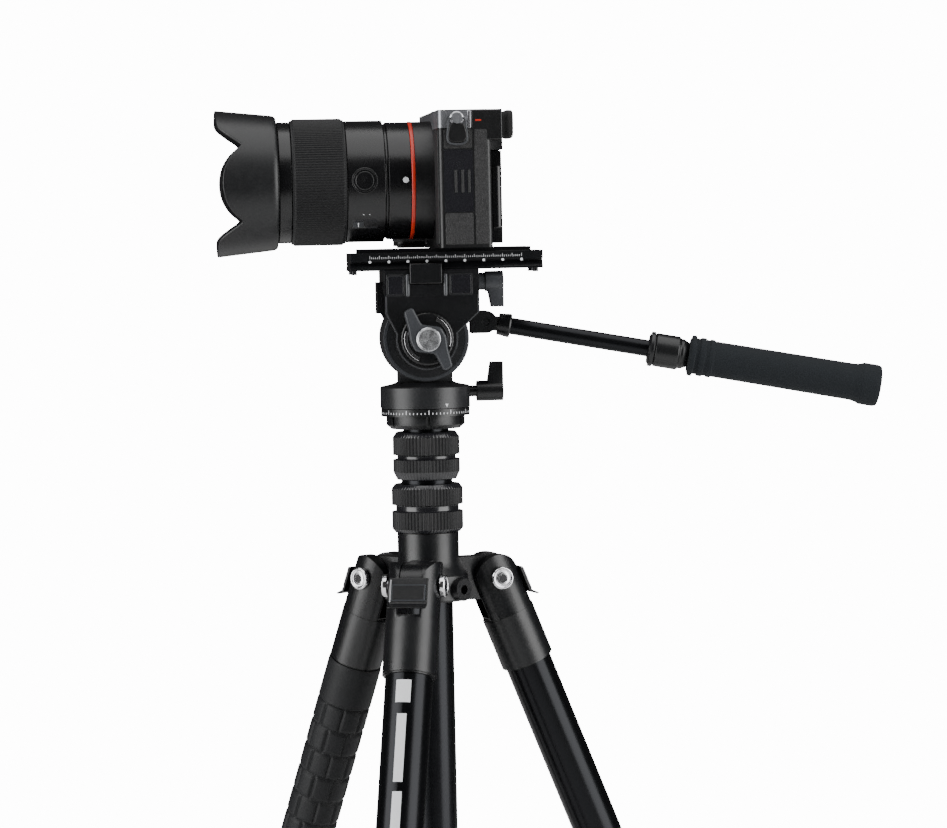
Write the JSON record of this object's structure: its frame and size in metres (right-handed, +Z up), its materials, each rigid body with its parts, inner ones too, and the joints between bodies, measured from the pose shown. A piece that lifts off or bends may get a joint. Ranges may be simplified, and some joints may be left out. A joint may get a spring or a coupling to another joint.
{
  "type": "camera on tripod",
  "caption": "Mirrorless camera with a petal-hooded lens on a quick plate, fluid head with pan handle, and a twist-lock tripod with a two-stage column, legs collapsed.",
  "frame": {"origin": "point on the floor directly under the centre column, with the feet resting on z = 0", "axes": "+Z up along the column, -X the way the lens points, +Y towards the camera's grip side"},
  "size_m": [0.3996, 0.3705, 0.6808],
  "materials": {
    "casting": "satin",
    "anodised_tube": "satin",
    "ribbed_rubber": "matte",
    "foam": "matte",
    "chrome_steel": "polished",
    "grey_metal": "satin",
    "silver_cover": "satin",
    "black_plastic": "satin",
    "textured_black": "textured",
    "screen": "gloss",
    "sensor": "gloss",
    "glass": "polished"
  },
  "bodies": {
    "spider": {"spider": "casting", "hinge_bolts": "chrome_steel"},
    "leg_front": {"leg_front_yoke": "casting", "leg_front_upper_tube": "anodised_tube"},
    "leg_front_latch": {"leg_front_latch": "grey_metal"},
    "leg_front_upper_lock": {"leg_front_upper_lock": "ribbed_rubber"},
    "leg_front_middle": {"leg_front_middle_tube": "anodised_tube"},
    "leg_front_lower_lock": {"leg_front_lower_lock": "ribbed_rubber"},
    "leg_front_lower": {"leg_front_lower_leg": "anodised_tube"},
    "leg_right": {"leg_right_yoke": "casting", "leg_right_upper_tube": "anodised_tube"},
    "leg_right_latch": {"leg_right_latch": "grey_metal"},
    "leg_right_upper_lock": {"leg_right_upper_lock": "ribbed_rubber"},
    "leg_right_middle": {"leg_right_middle_tube": "anodised_tube"},
    "leg_right_lower_lock": {"leg_right_lower_lock": "ribbed_rubber"},
    "leg_right_lower": {"leg_right_lower_leg": "anodised_tube"},
    "leg_left": {"leg_left_yoke": "casting", "leg_left_upper_tube": "anodised_tube", "leg_left_grip": "ribbed_rubber"},
    "leg_left_latch": {"leg_left_latch": "grey_metal"},
    "leg_left_upper_lock": {"leg_left_upper_lock": "ribbed_rubber"},
    "leg_left_middle": {"leg_left_middle_tube": "anodised_tube"},
    "leg_left_lower_lock": {"leg_left_lower_lock": "ribbed_rubber"},
    "leg_left_lower": {"leg_left_lower_leg": "anodised_tube"},
    "column_lock": {"column_lock": "ribbed_rubber"},
    "column": {"column_tube": "anodised_tube", "column_hook": "casting"},
    "extension_lock": {"extension_lock": "ribbed_rubber"},
    "extension": {"extension_tube": "anodised_tube", "mount_base": "casting"},
    "pan": {"pan_housing": "casting", "tilt_drum": "grey_metal"},
    "pan_lever": {"pan_lever": "black_plastic"},
    "head": {"tilt_body": "casting"},
    "tilt_knob": {"tilt_knob": "grey_metal"},
    "clamp_jaw": {"clamp_jaw": "black_plastic"},
    "clamp_lever": {"clamp_lever": "grey_metal"},
    "camera": {"quick_plate": "anodised_tube", "camera_screw": "chrome_steel", "camera_body": "textured_black", "camera_top_cover": "silver_cover", "eyecup": "ribbed_rubber", "image_sensor": "sensor", "battery": "black_plastic", "lens_barrel": "black_plastic", "lens_glass": "glass"},
    "handle": {"handle_socket": "black_plastic", "handle_rod": "anodised_tube"},
    "handle_grip": {"handle_grip": "foam"},
    "handle_collar": {"handle_collar": "black_plastic"},
    "monitor": {"monitor": "screen"},
    "card_door": {"card_door": "black_plastic"},
    "battery_door": {"battery_door": "black_plastic"},
    "strap_ring": {"strap_ring": "chrome_steel"},
    "shutter_button": {"shutter_button": "silver_cover"},
    "mode_dial": {"mode_dial": "black_plastic"},
    "focus_ring": {"focus_ring": "ribbed_rubber"},
    "lens_hood": {"lens_hood": "black_plastic"},
    "hold_button": {"hold_button": "black_plastic"},
    "focus_switch": {"focus_switch": "black_plastic"}
  },
  "joints": [
    {"name": "leg_front_spread", "type": "hinge", "parent": "spider", "child": "leg_front", "pos_m": [-0.01022, -0.03452, 0.43023], "axis": [-0.9588, 0.284, 0], "range_deg": [-20, 0]},
    {"name": "leg_front_latch_pull", "type": "slide", "parent": "leg_front", "child": "leg_front_latch", "axis": [-0.1064, -0.3592, -0.9272], "range_m": [0, 0.0025], "stiffness_N_per_m": 300},
    {"name": "leg_front_upper_twist", "type": "hinge", "parent": "leg_front", "child": "leg_front_upper_lock", "pos_m": [-0.01022, -0.03452, 0.43023], "axis": [-0.1064, -0.3592, -0.9272], "range_deg": [0, 90]},
    {"name": "leg_front_middle_extend", "type": "slide", "parent": "leg_front", "child": "leg_front_middle", "axis": [-0.1064, -0.3592, -0.9272], "range_m": [0, 0.24]},
    {"name": "leg_front_lower_twist", "type": "hinge", "parent": "leg_front_middle", "child": "leg_front_lower_lock", "pos_m": [-0.01022, -0.03452, 0.43023], "axis": [-0.1064, -0.3592, -0.9272], "range_deg": [0, 90]},
    {"name": "leg_front_lower_extend", "type": "slide", "parent": "leg_front_middle", "child": "leg_front_lower", "axis": [-0.1064, -0.3592, -0.9272], "range_m": [0, 0.24]},
    {"name": "leg_right_spread", "type": "hinge", "parent": "spider", "child": "leg_right", "pos_m": [0.03501, 0.0084, 0.43023], "axis": [0.2334, -0.9724, 0], "range_deg": [-20, 0]},
    {"name": "leg_right_latch_pull", "type": "slide", "parent": "leg_right", "child": "leg_right_latch", "axis": [0.3643, 0.0874, -0.9272], "range_m": [0, 0.0025], "stiffness_N_per_m": 300},
    {"name": "leg_right_upper_twist", "type": "hinge", "parent": "leg_right", "child": "leg_right_upper_lock", "pos_m": [0.03501, 0.0084, 0.43023], "axis": [0.3643, 0.0874, -0.9272], "range_deg": [0, 90]},
    {"name": "leg_right_middle_extend", "type": "slide", "parent": "leg_right", "child": "leg_right_middle", "axis": [0.3643, 0.0874, -0.9272], "range_m": [0, 0.24]},
    {"name": "leg_right_lower_twist", "type": "hinge", "parent": "leg_right_middle", "child": "leg_right_lower_lock", "pos_m": [0.03501, 0.0084, 0.43023], "axis": [0.3643, 0.0874, -0.9272], "range_deg": [0, 90]},
    {"name": "leg_right_lower_extend", "type": "slide", "parent": "leg_right_middle", "child": "leg_right_lower", "axis": [0.3643, 0.0874, -0.9272], "range_m": [0, 0.24]},
    {"name": "leg_left_spread", "type": "hinge", "parent": "spider", "child": "leg_left", "pos_m": [-0.02478, 0.02611, 0.43023], "axis": [0.7254, 0.6884, 0], "range_deg": [-20, 0]},
    {"name": "leg_left_latch_pull", "type": "slide", "parent": "leg_left", "child": "leg_left_latch", "axis": [-0.2579, 0.2717, -0.9272], "range_m": [0, 0.0025], "stiffness_N_per_m": 300},
    {"name": "leg_left_upper_twist", "type": "hinge", "parent": "leg_left", "child": "leg_left_upper_lock", "pos_m": [-0.02478, 0.02611, 0.43023], "axis": [-0.2579, 0.2717, -0.9272], "range_deg": [0, 90]},
    {"name": "leg_left_middle_extend", "type": "slide", "parent": "leg_left", "child": "leg_left_middle", "axis": [-0.2579, 0.2717, -0.9272], "range_m": [0, 0.24]},
    {"name": "leg_left_lower_twist", "type": "hinge", "parent": "leg_left_middle", "child": "leg_left_lower_lock", "pos_m": [-0.02478, 0.02611, 0.43023], "axis": [-0.2579, 0.2717, -0.9272], "range_deg": [0, 90]},
    {"name": "leg_left_lower_extend", "type": "slide", "parent": "leg_left_middle", "child": "leg_left_lower", "axis": [-0.2579, 0.2717, -0.9272], "range_m": [0, 0.24]},
    {"name": "column_lock_twist", "type": "hinge", "parent": "spider", "child": "column_lock", "pos_m": [0, 0, 0.46823], "axis": [0, 0, 1], "range_deg": [0, 90]},
    {"name": "column_raise", "type": "slide", "parent": "spider", "child": "column", "axis": [0, 0, 1], "range_m": [0, 0.2]},
    {"name": "extension_lock_twist", "type": "hinge", "parent": "column", "child": "extension_lock", "pos_m": [0, 0, 0.49623], "axis": [0, 0, 1], "range_deg": [0, 90]},
    {"name": "extension_raise", "type": "slide", "parent": "column", "child": "extension", "axis": [0, 0, 1], "range_m": [0, 0.18]},
    {"name": "pan", "type": "hinge", "parent": "extension", "child": "pan", "pos_m": [0, 0, 0.52823], "axis": [0, 0, 1], "continuous": true},
    {"name": "pan_lever_turn", "type": "hinge", "parent": "pan", "child": "pan_lever", "pos_m": [0.03, 0, 0.52993], "axis": [1, 0, 0], "range_deg": [0, 90]},
    {"name": "tilt", "type": "hinge", "parent": "pan", "child": "head", "pos_m": [0, 0, 0.55873], "axis": [0, 1, 0], "range_deg": [-70, 40]},
    {"name": "tilt_knob_turn", "type": "hinge", "parent": "head", "child": "tilt_knob", "pos_m": [0, -0.025, 0.55873], "axis": [0, -1, 0], "range_deg": [0, 120]},
    {"name": "clamp_lever_turn", "type": "hinge", "parent": "head", "child": "clamp_lever", "pos_m": [0.03, -0.012, 0.58823], "axis": [-1, 0, 0], "range_deg": [0, 90]},
    {"name": "clamp_jaw_open", "type": "slide", "parent": "head", "child": "clamp_jaw", "axis": [0, -1, 0], "range_m": [0, 0.002]},
    {"name": "plate_shift", "type": "slide", "parent": "head", "child": "camera", "axis": [1, 0, 0], "range_m": [-0.012, 0.012]},
    {"name": "handle_angle", "type": "hinge", "parent": "head", "child": "handle", "pos_m": [0.034, 0.01405, 0.56623], "axis": [0, 1, 0], "range_deg": [-30, 30]},
    {"name": "handle_extend", "type": "slide", "parent": "handle", "child": "handle_grip", "axis": [0.9795, -0.0857, -0.1822], "range_m": [-0.06, 0.02]},
    {"name": "handle_collar_twist", "type": "hinge", "parent": "handle_grip", "child": "handle_collar", "pos_m": [0.034, 0.01405, 0.56623], "axis": [0.9795, -0.0857, -0.1822], "range_deg": [0, 90]},
    {"name": "monitor_swing", "type": "hinge", "parent": "camera", "child": "monitor", "pos_m": [0.03625, -0.04, 0.63233], "axis": [0, 0, -1], "range_deg": [0, 160]},
    {"name": "card_door_open", "type": "hinge", "parent": "camera", "child": "card_door", "pos_m": [0.0095, -0.051, 0.64033], "axis": [0, 0, -1], "range_deg": [0, 95]},
    {"name": "battery_door_open", "type": "hinge", "parent": "camera", "child": "battery_door", "pos_m": [0.001, 0.045, 0.60733], "axis": [-1, 0, 0], "range_deg": [0, 90]},
    {"name": "strap_ring_swing", "type": "hinge", "parent": "camera", "child": "strap_ring", "pos_m": [0.0153, -0.0538, 0.67313], "axis": [-1, 0, 0], "range_deg": [0, 60]},
    {"name": "shutter_press", "type": "slide", "parent": "camera", "child": "shutter_button", "axis": [0, 0, -1], "range_m": [0, 0.0012], "stiffness_N_per_m": 600},
    {"name": "mode_dial_turn", "type": "hinge", "parent": "camera", "child": "mode_dial", "pos_m": [0.0195, 0.05, 0.67763], "axis": [0, 0, 1], "continuous": true},
    {"name": "focus_turn", "type": "hinge", "parent": "camera", "child": "focus_ring", "pos_m": [-0.05, 0, 0.64213], "axis": [1, 0, 0], "continuous": true},
    {"name": "hood_twist", "type": "hinge", "parent": "camera", "child": "lens_hood", "pos_m": [-0.08, 0, 0.64213], "axis": [1, 0, 0], "range_deg": [0, 60]},
    {"name": "hold_press", "type": "slide", "parent": "camera", "child": "hold_button", "axis": [0, 1, 0], "range_m": [0, 0.0008], "stiffness_N_per_m": 600},
    {"name": "focus_switch_slide", "type": "slide", "parent": "camera", "child": "focus_switch", "axis": [1, 0, 0], "range_m": [0, 0.006]}
  ],
  "couplings": [
    {"joint": "clamp_jaw_open", "follows": "clamp_lever_turn", "m_per_rad": 0.0012}
  ]
}
